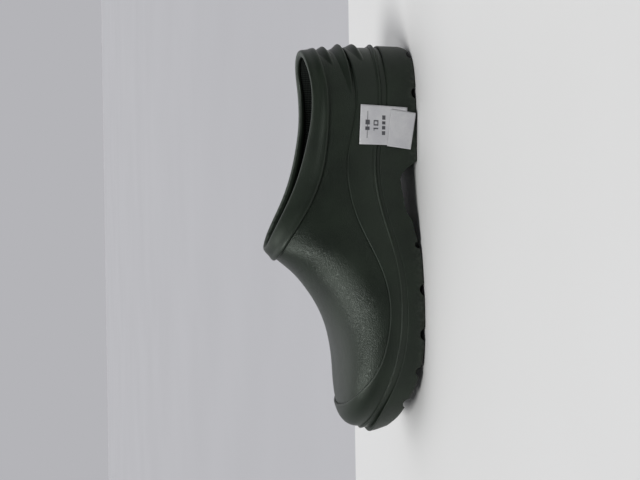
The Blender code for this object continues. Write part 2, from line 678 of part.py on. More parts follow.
def main():
    for old in list(bpy.data.objects):
        bpy.data.objects.remove(old, do_unlink=True)
    pieces = bpy.data.collections.new("rubber_garden_clog")
    cutters = bpy.data.collections.new("cutters")
    bpy.context.scene.collection.children.link(pieces)
    bpy.context.scene.collection.children.link(cutters)

    rubber = material("green_rubber", (0.035, 0.055, 0.042), 0.5)
    sole_rubber = material("sole_rubber", (0.040, 0.052, 0.042), 0.62)
    trim_rubber = material("trim_rubber", (0.045, 0.065, 0.050), 0.45)
    knit = material("lining_knit", (0.10, 0.10, 0.095), 0.95)
    fibre = material("stiffener_fibre", (0.42, 0.37, 0.30), 0.9)
    board = material("insole_board", (0.50, 0.38, 0.24), 0.9)
    felt = material("filler_felt", (0.28, 0.27, 0.25), 1.0)
    steel = material("shank_steel", (0.45, 0.46, 0.48), 0.35, 1.0)
    foam = material("footbed_foam", (0.20, 0.22, 0.20), 0.9)
    cover = material("footbed_cover", (0.07, 0.08, 0.075), 0.95)
    paper = material("label_paper", (0.82, 0.82, 0.80), 0.7)

    build_upper(rubber, pieces)
    build_lining(knit, pieces)
    build_toe_puff(fibre, pieces)
    build_counter(fibre, pieces)
    build_mudguard(trim_rubber, pieces)
    build_bead(trim_rubber, pieces)
    build_collar(trim_rubber, pieces)
    build_rib("heel_rib_top", RIB_TOP, 17.0, GAP_ON_UPPER, 2.8, trim_rubber, pieces)
    build_rib("heel_rib_middle", rib_middle, 46.0, GAP_ON_UPPER, 4.2, trim_rubber, pieces)
    build_rib("heel_rib_lower", RIB_LOWER, 14.0, 2 * GAP_ON_UPPER + MUDGUARD_WALL, 2.5, trim_rubber, pieces)
    build_outsole(sole_rubber, pieces, cutters)

    board_loop, footbed_loop = inset_loop(2.7), inset_loop(FOOTBED_INSET)
    filler_loop = ridge_loop(MARGIN_SHARE - 0.03)
    slab("insole_board", board_loop, stations_in(board_loop), board_bottom, board_top, board, pieces)
    for name, low, high in (("heel_filler", -99, 70), ("forepart_filler", 170, 999)):
        stations = stations_in(filler_loop, low, high)
        slab(name, filler_loop, stations, filler_bottom, filler_top, felt, pieces)
    build_shank(steel, pieces)
    footbed = stations_in(footbed_loop)
    soft = slab("footbed_foam", footbed_loop, footbed, foam_bottom, foam_top, foam, pieces)
    skin = slab("footbed_cover", footbed_loop, footbed, cover_bottom, cover_top, cover, pieces)
    hinge = bpy.data.objects.new("footbed_lift", None)
    hinge.location = world((HINGE_S, MIDDLE_Y, foam_bottom(HINGE_S)))
    pieces.objects.link(hinge)
    for moving in (soft, skin):
        moving.parent = hinge
        moving.matrix_parent_inverse = Matrix.Translation(-hinge.location)
    build_label("stock_label_printed", PRINTED_LABEL, 0.0, paper, pieces)
    build_label("stock_label_blank", BLANK_LABEL, LABEL_WALL + GAP, paper, pieces)


def ridge_loop(share):
    """The feather line drawn in towards the middle line to a share of the width."""
    middle = ridge_point(FINE_FEATHER)
    return middle + (FINE_FEATHER - middle) * share


main()
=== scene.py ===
"""Rubber garden clog, left foot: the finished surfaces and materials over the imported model.

Shapes are worked out in millimetres on the last: s runs from the back of the heel to the toe tip, y to the
outer side and z up from the ground. A column is a half-section of the clog. It starts on the feather line, where
the upper meets the sole, and climbs over a superellipse to the ridge along the middle of the vamp.
"""

import math

import bmesh
import bpy
import numpy as np
from bpy.props import FloatProperty, FloatVectorProperty, PointerProperty
from mathutils import Matrix, Vector

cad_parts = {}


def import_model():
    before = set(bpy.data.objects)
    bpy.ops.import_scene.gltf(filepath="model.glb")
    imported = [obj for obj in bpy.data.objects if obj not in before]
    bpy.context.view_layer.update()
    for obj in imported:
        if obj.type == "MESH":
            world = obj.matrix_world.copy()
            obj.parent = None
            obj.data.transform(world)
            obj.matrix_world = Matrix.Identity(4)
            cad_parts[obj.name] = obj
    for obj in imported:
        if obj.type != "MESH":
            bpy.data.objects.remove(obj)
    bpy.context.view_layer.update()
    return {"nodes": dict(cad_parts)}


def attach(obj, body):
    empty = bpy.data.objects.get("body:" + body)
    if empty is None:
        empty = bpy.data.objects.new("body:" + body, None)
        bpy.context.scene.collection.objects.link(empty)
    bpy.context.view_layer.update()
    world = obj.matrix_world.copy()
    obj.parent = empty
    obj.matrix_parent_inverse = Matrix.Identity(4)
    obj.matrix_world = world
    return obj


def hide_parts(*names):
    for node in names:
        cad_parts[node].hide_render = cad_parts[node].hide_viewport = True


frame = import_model()

bl_info = {
    "name": "Rubber Garden Clog",
    "version": (1, 0, 0),
    "blender": (4, 5, 0),
    "location": "3D View > Sidebar > Clog",
    "description": "Builds the rubber, lining, footbed and labels of a low garden clog over its packed model",
    "category": "Object",
}

MM = 0.001
MIDDLE_S, MIDDLE_Y = 149.9, 0.2  # the point of the ground under the middle of the clog
HEEL_CENTRE, TOE_CENTRE, END_BLEND = 36.0, 252.0, 14.0


# ---- smooth curves through a few points -------------------------------------------------------------------


def curve_through(xs, ys):
    """Natural cubic spline y(x): each span is a cubic whose bends at the points come from one linear system."""
    x, y = np.array(xs, float), np.array(ys, float)
    step = np.diff(x)
    rows = np.zeros((len(x), len(x)))
    right = np.zeros(len(x))
    rows[0, 0] = rows[-1, -1] = 1
    for i in range(1, len(x) - 1):
        rows[i, i - 1 : i + 2] = step[i - 1], 2 * (step[i - 1] + step[i]), step[i]
        right[i] = 6 * ((y[i + 1] - y[i]) / step[i] - (y[i] - y[i - 1]) / step[i - 1])
    bend = np.linalg.solve(rows, right)

    def value(at):
        at = np.clip(np.asarray(at, float), x[0], x[-1])
        i = np.clip(np.searchsorted(x, at) - 1, 0, len(x) - 2)
        before, after, h = at - x[i], x[i + 1] - at, step[i]
        cubic = (bend[i] * after**3 + bend[i + 1] * before**3) / (6 * h)
        return cubic + (y[i] / h - bend[i] * h / 6) * after + (y[i + 1] / h - bend[i + 1] * h / 6) * before

    return value


def loop_through(points):
    """Closed cubic spline through the points, by chord length; the result takes 0 to 1 round the loop."""
    p = np.array(points, float)
    count = len(p)
    step = np.linalg.norm(np.roll(p, -1, axis=0) - p, axis=1)
    rows = np.zeros((count, count))
    right = np.zeros_like(p)
    for i in range(count):
        after = (i + 1) % count
        rows[i, i - 1] += step[i - 1]
        rows[i, i] += 2 * (step[i - 1] + step[i])
        rows[i, after] += step[i]
        right[i] = 6 * ((p[after] - p[i]) / step[i] - (p[i] - p[i - 1]) / step[i - 1])
    bend = np.linalg.solve(rows, right)
    knots = np.concatenate([[0], np.cumsum(step)])

    def value(at):
        x = np.mod(np.asarray(at, float), 1) * knots[-1]
        i = np.clip(np.searchsorted(knots, x, side="right") - 1, 0, count - 1)
        j = (i + 1) % count
        h = step[i][..., None]
        before, after = (x - knots[i])[..., None], (knots[i + 1] - x)[..., None]
        cubic = (bend[i] * after**3 + bend[j] * before**3) / (6 * h)
        return cubic + (p[i] / h - bend[i] * h / 6) * after + (p[j] / h - bend[j] * h / 6) * before

    return value


# ---- the last ---------------------------------------------------------------------------------------------

# Feather line seen from above: from the toe tip along the outer side to the heel, back along the inner side.
FEATHER = loop_through(
    [(295.6, -7), (291.6, 12.6), (279.6, 30.2), (258, 44), (226, 50.3), (192, 50), (154, 43), (115, 36.5)]
    + [(76, 35.5), (41, 35), (17, 28), (5.7, 14.5), (2.7, 0), (5.7, -14), (17, -27), (41, -33.5), (76, -32.5)]
    + [(115, -31), (152, -35.5), (186, -45), (216, -50), (246, -48.5), (272, -38.6), (288.6, -24)]
)
# Heights along the clog, each over s.
FEATHER_Z = curve_through(
    [0, 15, 32, 52, 86, 108, 139, 169, 199, 221, 244, 271, 300],
    [29, 29.6, 28.7, 29, 32.8, 32.6, 27, 19.4, 17, 17.7, 21, 28.8, 39],
)
RIDGE_Z = curve_through(
    [0, 36, 50, 65, 85, 105, 125, 140, 150, 160, 168, 176, 184, 200, 216, 231, 247, 262, 300],
    [138, 122, 114, 108.5, 107, 109, 113, 116, 115, 109.8, 100.6, 91.2, 84, 73, 65.6, 61.4, 58.6, 58.2, 58.2],
)
RIDGE_Y = curve_through([0, 40, 110, 170, 220, 250, 302], [0, 0, 0, -3.5, -5, -6, -6])
FULLNESS = curve_through(
    [0, 20, 38, 60, 85, 125, 150, 170, 200, 235, 262, 285, 302],
    [3.0, 2.9, 2.55, 2.2, 1.98, 1.9, 1.98, 2.0, 2.05, 2.3, 2.75, 3.05, 3.1],
)
# Lines that cut the last square across, seen from the side.
TOPLINE = curve_through(
    [-5, 4, 16, 32, 48, 62, 77, 92, 108, 122, 138, 148, 158, 176],
    [85.8, 84.8, 83.1, 80.6, 79.9, 80.8, 83.4, 86.9, 91.9, 97.7, 105.5, 110.0, 113.6, 121],
)
BAND_FOOT = curve_through(
    [-5, 6, 21, 33, 48, 62, 77, 93, 108, 123, 136, 145, 156, 165, 176],
    [73.8, 73.0, 70.6, 68.4, 67.4, 67.5, 68.6, 70.8, 74.8, 81.0, 88.2, 93.6, 100, 104.4, 109.5],
)
MUDGUARD_TOP = curve_through(
    [-4, 12, 24, 36, 50, 70, 95, 112, 139, 162, 184, 210, 232, 255, 268, 280, 290, 302],
    [52.2, 50.5, 48.4, 47.0, 46.8, 50.4, 54.1, 53.2, 46.6, 36.6, 28.9, 26.6, 29.8, 38.9, 48.3, 57.4, 66, 77],
)
# The sole: its top edge hangs this far below the feather line, and its tread rises off the ground like this.
SOLE_DROP = curve_through([0, 20, 50, 100, 150, 300], [5.0, 5.8, 5.6, 3.6, 4.6, 4.2])
SOLE_FLARE = curve_through([0, 14, 40, 90, 200, 276, 298], [3.3, 2.6, 2.3, 2.3, 2.6, 4.4, 6.4])
SOLE_TUCK = curve_through([0, 60, 250, 278, 298], [0.5, 0.5, 0.8, 2.4, 4.4])  # the wall leans in this far
TREAD_RISE = curve_through(
    [0, 6, 14, 60, 125, 141, 156, 172, 200, 228, 244, 256, 270, 284, 301],
    [4.4, 1.1, 0, 0, 0, 0, 0, 0, 0, 0.2, 1.8, 3.9, 8.0, 12.8, 19.5],
)
# The bead stands out this far, and its crest lies this far over the feather line.
BEAD_REACH = curve_through([0, 7, 20, 50, 250, 278, 298], [4.0, 3.5, 2.6, 2.4, 2.4, 2.8, 3.0])
BEAD_CREST = curve_through([0, 60, 107, 137, 168, 226, 256, 300], [0, 0, 0.1, -0.2, 0.3, 0.6, 1.1, 1.1])
# The sole's top edge turns up by this, and down at the toe tip.
SOLE_LIP = curve_through([0, 100, 145, 170, 200, 270, 286, 295, 302], [0, 0.2, 0.5, 1.7, 2, 2, 1.7, 0.2, -1.6])
BEAD_UNDERCUT = curve_through([0, 60, 140, 200, 300], [1.15, 1.1, 0.8, 0.5, 0.3])  # of the full undercut
ARCH = [(90, -3), (92.5, 1), (98, 9), (103, 13.2), (106, 14), (114, 12.9), (122, 11.9), (128, 11.0)]
ARCH += [(132, 9.9), (134.5, 8.2), (137, 6.4), (147, 4.5), (156, 2.3), (164, 0.4), (169, -2)]
RIB_TOP = curve_through([-5, 2, 10, 18, 30], [67.2, 66.6, 64.8, 62.6, 59.0])
RIB_LOWER = curve_through([-5, 2, 8, 14, 24], [44.0, 43.4, 42.0, 40.2, 37.0])

UPPER_WALL, UPPER_CUT = 2.0, 2.4
LINING_DEPTH, RIM_DEPTH, LINING_WALL = 3.6, 2.4, 0.7  # the lining lies closer to the outer face at the rim
BEAD_TOP = 2.2  # height of the bead's upper seam over the feather line
FOOTBED_INSET = 7.2
# Tread grooves as (s, radius of the round top, depth).
GROOVES = [(9.6, 2.6, 4.0), (40, 4.4, 4.0), (156, 2.6, 5.4), (189.5, 4.6, 3.9), (223, 5.0, 4.2)]
GROOVES += [(251.5, 3.6, 4.0), (276.5, 3.4, 4.0)]


def rib_middle(s):
    return MUDGUARD_TOP(s) + 2.8


def tread(s):
    return np.maximum(TREAD_RISE(s), 0)


def sole_top(s):
    return FEATHER_Z(s) - SOLE_DROP(s)


def margin_height(s):
    """Underside of the margin that the upper turns in between the sole and the insole board."""
    return sole_top(s) + 0.3


def footbed_base(s):
    """Underside of the footbed: above the turned-in margin of the upper and the insole board."""
    return sole_top(s) + 4.7


def softly_between(x, low, high):
    """x held between low and high with rounded corners: a difference of two softened ramps."""
    ramps = np.logaddexp(0, (x - low) / END_BLEND) - np.logaddexp(0, (x - high) / END_BLEND)
    return low + END_BLEND * ramps


def half_tables():
    """For each side, the feather line and its direction as tables over s, from a fine walk round the loop."""
    round_loop = np.linspace(0, 1, 8001)[:-1]
    place = FEATHER(round_loop)
    ahead = np.roll(place, -1, axis=0) - np.roll(place, 1, axis=0)
    ahead /= np.linalg.norm(ahead, axis=1, keepdims=True)
    toe, heel = int(np.argmax(place[:, 0])), int(np.argmin(place[:, 0]))
    place, ahead = np.roll(place, -toe, axis=0), np.roll(ahead, -toe, axis=0)
    turn = (heel - toe) % len(place)
    walk = np.concatenate([place, ahead], axis=1)
    outer = walk[: turn + 1][::-1]
    inner = np.concatenate([walk[turn:], walk[:1]])
    return {+1: outer, -1: inner}


HALVES = half_tables()
HEEL_S = HALVES[1][0, 0]


def feather_at(stations, side):
    """Feather points and their directions round the loop at the given s. The side is +1 outer or -1 inner."""
    table = HALVES[side]
    stations = np.asarray(stations, float)
    columns = [np.interp(stations, table[:, 0], table[:, k]) for k in (1, 2, 3)]
    return np.stack([stations, columns[0]], -1), np.stack(columns[1:], -1)


def columns_round(count):
    """Columns round the whole loop, at even steps along the outer feather line and facing ones on the inner."""
    table = HALVES[1]
    walked = np.concatenate([[0], np.cumsum(np.linalg.norm(np.diff(table[:, :2], axis=0), axis=1))])
    s = np.interp(np.linspace(0, walked[-1], count), walked, table[:, 0])
    outer, outer_way = feather_at(s[::-1], +1)
    inner, inner_way = feather_at(s[1:-1], -1)
    return np.concatenate([outer, inner]), np.concatenate([outer_way, inner_way])


def on_last(feather, angle):
    """Point of the last: with across and up from cos and sin of the angle on a superellipse of the column's
    fullness, the point lies at ridge + (feather - ridge) * across, and at foot + (ridge height - foot) * up."""
    s, y = feather[..., 0], feather[..., 1]
    ridge_s = softly_between(s, HEEL_CENTRE, TOE_CENTRE)
    ridge_y = RIDGE_Y(ridge_s)
    full = FULLNESS(s)
    across, up = np.abs(np.cos(angle)), np.abs(np.sin(angle))
    radius = (across**full + up**full) ** (-1 / full)
    across, up = across * radius, up * radius
    foot = FEATHER_Z(s)
    height = foot + (RIDGE_Z(ridge_s) - foot) * up
    return np.stack([ridge_s + (s - ridge_s) * across, ridge_y + (y - ridge_y) * across, height], -1)


def outward(feather, way, angle):
    """Unit normal of the last: the cross product of its slope round the loop and its slope up the column."""
    angle = np.clip(angle, 0.002, math.pi / 2 - 0.02)
    along = on_last(feather + way * 0.05, angle) - on_last(feather - way * 0.05, angle)
    climb = on_last(feather, angle + 0.001) - on_last(feather, angle - 0.001)
    normal = np.cross(along, climb)
    return normal / np.linalg.norm(normal, axis=-1, keepdims=True)


def off_last(feather, way, angle, out):
    """Points of the last moved out along its normal by out millimetres."""
    return on_last(feather, angle) + outward(feather, way, angle) * np.asarray(out)[..., None]


def angle_where(feather, line):
    """Angle at which each column crosses a side line z(s), by halving the interval."""
    low = np.zeros(feather.shape[:-1])
    high = np.full(feather.shape[:-1], math.pi / 2)
    for _ in range(36):
        middle = (low + high) / 2
        point = on_last(feather, middle)
        under = point[..., 2] < line(point[..., 0])
        low, high = np.where(under, middle, low), np.where(under, high, middle)
    return (low + high) / 2


def ridge_crossing(line):
    """The s at which a side line z(s) reaches the ridge."""
    s = np.linspace(140, 185, 4501)
    return s[np.argmin(np.abs(RIDGE_Z(s) - line(s)), axis=-1)]


def upper_top(s):
    return TOPLINE(s) - UPPER_CUT


def lining_depth(point):
    """How far the lining lies inside the outer face: it comes closer to it within 19 mm of the top line."""
    near = np.clip((19 - TOPLINE(point[..., 0]) + point[..., 2]) / 8, 0, 1)
    return LINING_DEPTH - (LINING_DEPTH - RIM_DEPTH) * near**2 * (3 - 2 * near)


def flat_out(way):
    """Unit normal of the feather line seen from above."""
    return np.stack([way[..., 1], -way[..., 0]], -1)


def towards_middle(feather, share, height):
    """Points at a share of the way from the middle line out to the feather line, at a height over s."""
    s = softly_between(feather[..., 0], HEEL_CENTRE, TOE_CENTRE)
    middle = np.stack([s, RIDGE_Y(s)], -1)
    flat = middle + (feather - middle) * np.asarray(share)[..., None]
    return np.concatenate([flat, height(flat[..., 0])[..., None]], -1)


# ---- meshes and pieces ------------------------------------------------------------------------------------


def world(points):
    """Last millimetres to metres, with the origin under the middle of the clog."""
    return (np.asarray(points, float) - (MIDDLE_S, MIDDLE_Y, 0)) * MM


def grid_mesh(name, points, wrap_rows=False, wrap_columns=False, caps=False, solid=True, values=None):
    """Quads over a grid of points (rows, columns, 3). Either direction may close on itself, and caps fill the
    first and last column of a grid whose rows wrap. Values are stored per point under their names."""
    points = np.asarray(points, float)
    rows, columns = points.shape[:2]
    i = np.arange(rows if wrap_rows else rows - 1)[:, None]
    j = np.arange(columns if wrap_columns else columns - 1)[None, :]
    below, after = (i + 1) % rows, (j + 1) % columns
    quads = np.stack([i * columns + j, i * columns + after, below * columns + after, below * columns + j], -1)
    quads = quads.reshape(-1, 4)
    mesh = bpy.data.meshes.new(name)
    mesh.vertices.add(rows * columns)
    mesh.vertices.foreach_set("co", world(points).ravel())
    mesh.loops.add(quads.size)
    mesh.loops.foreach_set("vertex_index", quads.ravel())
    mesh.polygons.add(len(quads))
    mesh.polygons.foreach_set("loop_start", np.arange(0, quads.size, 4))
    for key, value in (values or {}).items():
        layer = mesh.attributes.new(key, "FLOAT", "POINT")
        layer.data.foreach_set("value", np.broadcast_to(value, (rows, columns)).astype(np.float32).ravel())
    mesh.update(calc_edges=True)
    tidy = bmesh.new()
    tidy.from_mesh(mesh)
    if caps:
        tidy.verts.ensure_lookup_table()
        for column in (0, columns - 1):
            tidy.faces.new([tidy.verts[row * columns + column] for row in range(rows)])
    bmesh.ops.remove_doubles(tidy, verts=tidy.verts, dist=0.00001)
    if solid:
        bmesh.ops.recalc_face_normals(tidy, faces=tidy.faces)
    tidy.to_mesh(mesh)
    tidy.free()
    mesh.shade_smooth()
    return mesh


def add_piece(mesh, finish, body, nodes=(), wall=0.0):
    """Makes the object of a piece, with its material, the body it moves with and the nodes it stands for.
    A wall in millimetres is given inwards to an open sheet."""
    piece = bpy.data.objects.new(mesh.name, mesh)
    bpy.context.scene.collection.objects.link(piece)
    mesh.materials.append(finish)
    if wall:
        solid = piece.modifiers.new("wall", "SOLIDIFY")
        solid.thickness = wall * MM
        solid.offset = -1
    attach(piece, body)
    if nodes:
        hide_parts(*nodes)
    return piece


def facing_pairs(points, high):
    """Brings the last points of facing columns together where both reach the ridge."""
    count = points.shape[1]
    facing = (count - np.arange(count)) % count
    meets = (high > math.pi / 2 - 1e-6)[:, None]
    points[-1] = np.where(meets, (points[-1] + points[-1][facing]) / 2, points[-1])
    return points


# ---- materials --------------------------------------------------------------------------------------------


def linear(code):
    """An sRGB hex colour as linear red, green and blue."""
    part = np.array([int(code[k : k + 2], 16) for k in (0, 2, 4)]) / 255
    return tuple(float(x) for x in np.where(part <= 0.04045, part / 12.92, ((part + 0.055) / 1.055) ** 2.4))


def add_node(tree, kind, inputs=None, **settings):
    """Adds a node with its settings; an input is a value, or the output socket of another node to link."""
    made = tree.nodes.new(kind)
    for key, value in settings.items():
        setattr(made, key, value)
    for key, value in (inputs or {}).items():
        if isinstance(value, bpy.types.NodeSocket):
            tree.links.new(value, made.inputs[key])
        else:
            made.inputs[key].default_value = value
    return made


def new_material(name, roughness, specular=0.5, metallic=0.0):
    """An empty Principled material: gives it, its node tree and its shader node."""
    made = bpy.data.materials.new(name)
    made.use_nodes = True
    shader = made.node_tree.nodes["Principled BSDF"]
    shader.inputs["Roughness"].default_value = roughness
    shader.inputs["Specular IOR Level"].default_value = specular
    shader.inputs["Metallic"].default_value = metallic
    return made, made.node_tree, shader


def between(tree, factor, first, second):
    """A colour between two, by a factor socket."""
    mix = add_node(tree, "ShaderNodeMix", {0: factor, 6: (*first, 1), 7: (*second, 1)}, data_type="RGBA")
    return mix.outputs[2]


def spread(tree, value, low, high, to_low, to_high):
    """A value socket mapped from one range to another and clamped."""
    inputs = {0: value, 1: low, 2: high, 3: to_low, 4: to_high}
    return add_node(tree, "ShaderNodeMapRange", inputs, clamp=True).outputs[0]


def rubber(name, dark, light, roughness, grain_mm, grain, mottle_mm=30.0, scuff=0.0, specular=0.42):
    """Vulcanised natural rubber with a moulded leather grain: near-black green, satin, with a faint dry bloom.

    The grain is a Voronoi field of pebbles of grain_mm, broken up by noise. The colour drifts between a dark
    and a lighter tone over mottle_mm. A scuffed rubber is paler and rougher close to the ground."""
    made, tree, shader = new_material(name, roughness, specular)
    shader.inputs["Specular Tint"].default_value = (0.9, 1.0, 0.9, 1)
    place = add_node(tree, "ShaderNodeTexCoord").outputs["Object"]
    wander = add_node(
        tree, "ShaderNodeTexNoise", {"Vector": place, "Scale": 1000 / (grain_mm * 2.2), "Detail": 2}
    )
    shift = add_node(
        tree, "ShaderNodeVectorMath", {0: wander.outputs["Color"], 3: 0.45 * grain_mm * MM}, operation="SCALE"
    )
    moved = add_node(tree, "ShaderNodeVectorMath", {0: place, 1: shift.outputs[0]}, operation="ADD").outputs[0]
    pebble = add_node(
        tree, "ShaderNodeTexVoronoi", {"Vector": moved, "Scale": 1000 / grain_mm}, feature="DISTANCE_TO_EDGE"
    )
    crease = spread(tree, pebble.outputs["Distance"], 0.0, 0.22, 0.0, 1.0)
    fine = add_node(tree, "ShaderNodeTexNoise", {"Vector": place, "Scale": 1000 / 0.9, "Detail": 3})
    height = add_node(
        tree, "ShaderNodeMath", {0: fine.outputs["Fac"], 1: 0.45, 2: crease}, operation="MULTIPLY_ADD"
    ).outputs[0]
    bump = add_node(tree, "ShaderNodeBump", {"Strength": grain, "Distance": 0.00035, "Height": height})
    tree.links.new(bump.outputs["Normal"], shader.inputs["Normal"])
    mottle = add_node(tree, "ShaderNodeTexNoise", {"Vector": place, "Scale": 1000 / mottle_mm, "Detail": 4})
    bloom = spread(tree, mottle.outputs["Fac"], 0.35, 0.72, 0.0, 1.0)
    colour = between(tree, bloom, dark, light)
    rough = spread(tree, mottle.outputs["Fac"], 0.3, 0.7, roughness - 0.035, roughness + 0.05)
    if scuff:
        z = add_node(tree, "ShaderNodeSeparateXYZ", {0: place}).outputs["Z"]
        low = spread(tree, z, 0.0, 0.009, 1.0, 0.0)
        rubbed = add_node(tree, "ShaderNodeTexNoise", {"Vector": place, "Scale": 420.0, "Detail": 5})
        patch = spread(tree, rubbed.outputs["Fac"], 0.42, 0.66, 0.0, 1.0)
        worn = add_node(tree, "ShaderNodeMath", {0: low, 1: patch}, operation="MULTIPLY").outputs[0]
        worn = add_node(tree, "ShaderNodeMath", {0: worn, 1: scuff}, operation="MULTIPLY").outputs[0]
        mix = add_node(
            tree, "ShaderNodeMix", {0: worn, 6: colour, 7: (*linear("5E625C"), 1)}, data_type="RGBA"
        )
        colour = mix.outputs[2]
        rougher = add_node(tree, "ShaderNodeMath", {0: worn, 1: 0.3, 2: rough}, operation="MULTIPLY_ADD")
        rough = rougher.outputs[0]
    tree.links.new(colour, shader.inputs["Base Color"])
    tree.links.new(rough, shader.inputs["Roughness"])
    return made, tree, shader, colour, rough


def cut_edge(made, tree, shader, colour, rough):
    """Adds the trimmed edge of the collar, where the attribute trim is 1: a paler, rougher knife-cut face."""
    trim = add_node(tree, "ShaderNodeAttribute", attribute_name="trim").outputs["Fac"]
    place = add_node(tree, "ShaderNodeTexCoord").outputs["Object"]
    ragged = add_node(tree, "ShaderNodeTexNoise", {"Vector": place, "Scale": 330.0, "Detail": 6}).outputs["Fac"]
    share = add_node(tree, "ShaderNodeMath", {0: ragged, 1: trim}, operation="MULTIPLY").outputs[0]
    share = spread(tree, share, 0.30, 0.55, 0.0, 0.6)
    mix = add_node(tree, "ShaderNodeMix", {0: share, 6: colour, 7: (*linear("555C55"), 1)}, data_type="RGBA")
    tree.links.new(mix.outputs[2], shader.inputs["Base Color"])
    rougher = add_node(tree, "ShaderNodeMath", {0: share, 1: 0.3, 2: rough}, operation="MULTIPLY_ADD")
    tree.links.new(rougher.outputs[0], shader.inputs["Roughness"])
    return made


def knit(name, dark, light, wale_mm, course_mm):
    """Polyester sock knit bonded to the rubber: matt, with vertical wales and finer courses.

    The attributes around and up hold millimetres along and up the cloth. The stitch is a sum of two sines, the
    wales at full strength and the courses at about a third of it, so the eye sees fine ribs. The wales are drawn
    at wale_mm, coarser than a usual knit's, so that they show."""
    made, tree, shader = new_material(name, 0.92, 0.25)
    around = add_node(tree, "ShaderNodeAttribute", attribute_name="around").outputs["Fac"]
    up = add_node(tree, "ShaderNodeAttribute", attribute_name="up").outputs["Fac"]
    waves = []
    for value, pitch in ((around, wale_mm), (up, course_mm)):
        turn = add_node(tree, "ShaderNodeMath", {0: value, 1: math.tau / pitch}, operation="MULTIPLY")
        wave = add_node(tree, "ShaderNodeMath", {0: turn.outputs[0]}, operation="SINE")
        waves.append(wave.outputs[0])
    stitch = add_node(tree, "ShaderNodeMath", {0: waves[1], 1: 0.35, 2: waves[0]}, operation="MULTIPLY_ADD")
    place = add_node(tree, "ShaderNodeTexCoord").outputs["Object"]
    fuzz = add_node(tree, "ShaderNodeTexNoise", {"Vector": place, "Scale": 900.0, "Detail": 3}).outputs["Fac"]
    height = add_node(tree, "ShaderNodeMath", {0: fuzz, 1: 0.8, 2: stitch.outputs[0]}, operation="MULTIPLY_ADD")
    bump = add_node(tree, "ShaderNodeBump", {"Strength": 0.7, "Distance": 0.0003, "Height": height.outputs[0]})
    tree.links.new(bump.outputs["Normal"], shader.inputs["Normal"])
    share = spread(tree, height.outputs[0], -0.8, 1.6, 0.0, 1.0)
    tree.links.new(between(tree, share, dark, light), shader.inputs["Base Color"])
    return made


def speckled(name, dark, light, roughness, grain_mm, metallic=0.0, stretch=(1, 1, 1)):
    """A plain stock material for the pieces inside: pressed board, felt, foam or ground steel. Noise at
    grain_mm, drawn out by stretch for fibres or grinding marks, drives its colour and a shallow bump."""
    made, tree, shader = new_material(name, roughness, metallic=metallic)
    place = add_node(tree, "ShaderNodeTexCoord").outputs["Object"]
    drawn = add_node(tree, "ShaderNodeMapping", {"Vector": place, "Scale": stretch}).outputs[0]
    grain = add_node(tree, "ShaderNodeTexNoise", {"Vector": drawn, "Scale": 1000 / grain_mm, "Detail": 4})
    share = spread(tree, grain.outputs["Fac"], 0.3, 0.7, 0.0, 1.0)
    tree.links.new(between(tree, share, dark, light), shader.inputs["Base Color"])
    bump = add_node(
        tree, "ShaderNodeBump", {"Strength": 0.4, "Distance": 0.0002, "Height": grain.outputs["Fac"]}
    )
    tree.links.new(bump.outputs["Normal"], shader.inputs["Normal"])
    return made


def paper():
    """Coated label paper: off-white, faintly fibrous and a little grubby, with a weak sheen."""
    made, tree, shader = new_material("coated_paper", 0.55)
    place = add_node(tree, "ShaderNodeTexCoord").outputs["Object"]
    fibre = add_node(tree, "ShaderNodeTexNoise", {"Vector": place, "Scale": 900.0, "Detail": 4}).outputs["Fac"]
    smudge = add_node(tree, "ShaderNodeTexNoise", {"Vector": place, "Scale": 70.0, "Detail": 3}).outputs["Fac"]
    both = add_node(tree, "ShaderNodeMath", {0: fibre, 1: 0.25, 2: smudge}, operation="MULTIPLY_ADD").outputs[0]
    share = spread(tree, both, 0.45, 0.85, 0.0, 1.0)
    tree.links.new(between(tree, share, linear("C4C4C8"), linear("D8D8D9")), shader.inputs["Base Color"])
    bump = add_node(tree, "ShaderNodeBump", {"Strength": 0.15, "Distance": 0.0001, "Height": fibre})
    tree.links.new(bump.outputs["Normal"], shader.inputs["Normal"])
    return made


def settings():
    return bpy.context.scene.clog_settings


def upper_rubber():
    if "grained_rubber" not in bpy.data.materials:
        look = settings()
        rubber("grained_rubber", look.rubber_dark, look.rubber_light, 0.35, look.grain / MM, 0.26)
    return bpy.data.materials["grained_rubber"]


def trim_rubber():
    """Smooth calendered strip: the same rubber with hardly any grain and a little more gloss."""
    if "strip_rubber" not in bpy.data.materials:
        look = settings()
        cut_edge(*rubber("strip_rubber", look.rubber_dark, look.rubber_light, 0.38, look.grain / MM, 0.15))
    return bpy.data.materials["strip_rubber"]


# ---- the pieces -------------------------------------------------------------------------------------------


class ClogSettings(bpy.types.PropertyGroup):
    """Sizes and colours of the clog that may be changed."""

    collar_roll: FloatProperty(
        name="Collar roll", description="How far the collar stands out", default=0.0024, unit="LENGTH"
    )
    mudguard_wall: FloatProperty(
        name="Mudguard wall", description="Thickness of the lower strip", default=0.0017, unit="LENGTH"
    )
    rib_out: FloatProperty(
        name="Heel ribs", description="How far the heel ribs stand out", default=0.0030, unit="LENGTH"
    )
    grain: FloatProperty(
        name="Grain", description="Size of one pebble of the moulded grain", default=0.0011, unit="LENGTH"
    )
    rubber_dark: FloatVectorProperty(
        name="Rubber, dark", description="Deep tone of the rubber", subtype="COLOR", default=linear("181E18")
    )
    rubber_light: FloatVectorProperty(
        name="Rubber, light",
        description="Bloomed tone of the rubber",
        subtype="COLOR",
        default=linear("20281F"),
    )


